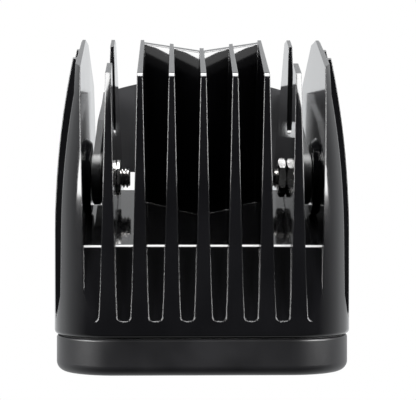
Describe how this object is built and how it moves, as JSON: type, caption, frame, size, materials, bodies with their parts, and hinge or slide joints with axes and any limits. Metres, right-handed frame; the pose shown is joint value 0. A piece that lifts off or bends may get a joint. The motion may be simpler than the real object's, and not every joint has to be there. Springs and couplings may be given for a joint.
{
  "type": "led work lamp",
  "caption": "Square finned LED work lamp with a bolted front bezel, chrome reflector cups, a rear cable gland and a tilting yoke bracket.",
  "frame": {"origin": "centre of the whole lamp's footprint on the surface it stands on, at the front face of the bezel", "axes": "+Z from the bezel's front face to the rear fins, +X along the tilt pivot, -Y the side with the nut showing between the fins; the yoke's strap is on the +Y side"},
  "size_m": [0.0848, 0.0908, 0.097],
  "materials": {
    "gloss_paint": "cast aluminium under gloss black paint",
    "satin_paint": "cast aluminium under satin black paint",
    "bracket_coat": "fine satin black powder coat on sheet steel",
    "lens_glass": "clear toughened plate",
    "seal_rubber": "matte black silicone",
    "steel_screw": "stainless steel",
    "steel_zinc": "bright zinc plate",
    "reflector_chrome": "vacuum metallised",
    "board_white": "white solder mask on an aluminium core board",
    "led_phosphor": "yellow phosphor under a clear dome",
    "pad_grey": "soft thermal pad",
    "board_green": "green solder mask",
    "ferrite": "ferrite with a wound core",
    "can_aluminium": "sleeved aluminium can",
    "chip_black": "moulded package",
    "brass_pin": "plain",
    "bush_nylon": "black nylon",
    "washer_black": "thin black friction washer",
    "gland_nylon": "fine matte nylon",
    "vent_plastic": "matte plastic"
  },
  "bodies": {
    "lamp": {"housing": "gloss_paint", "front_bezel": "satin_paint", "front_lens": "lens_glass", "lens_gasket": "seal_rubber", "housing_seal": "seal_rubber", "bezel_screws": "steel_screw", "reflector": "reflector_chrome", "led_board": "board_white", "led_emitters": "led_phosphor", "thermal_pad": "pad_grey", "board_screws": "steel_screw", "driver_board": "board_green", "driver_inductor": "ferrite", "driver_capacitors": "can_aluminium", "driver_mosfets": "chip_black", "driver_pins": "brass_pin", "pivot_nut_right": "steel_zinc", "thread_insert_left": "steel_zinc", "pivot_bolt_left": "steel_zinc", "pivot_bolt_right": "steel_zinc", "cable_gland_body": "gland_nylon", "gland_cap": "gland_nylon", "gland_seal": "seal_rubber", "gland_o_ring": "seal_rubber", "pressure_vent": "vent_plastic"},
    "bracket": {"yoke_bracket": "bracket_coat", "bracket_bush_left": "bush_nylon", "bracket_bush_right": "bush_nylon", "friction_washers_left": "washer_black", "friction_washers_right": "washer_black"}
  },
  "joints": [
    {"name": "bracket_tilt", "type": "hinge", "parent": "lamp", "child": "bracket", "pos_m": [0, -0.0154, 0.0554], "axis": [1, 0, 0], "range_deg": [-8, 165]}
  ]
}
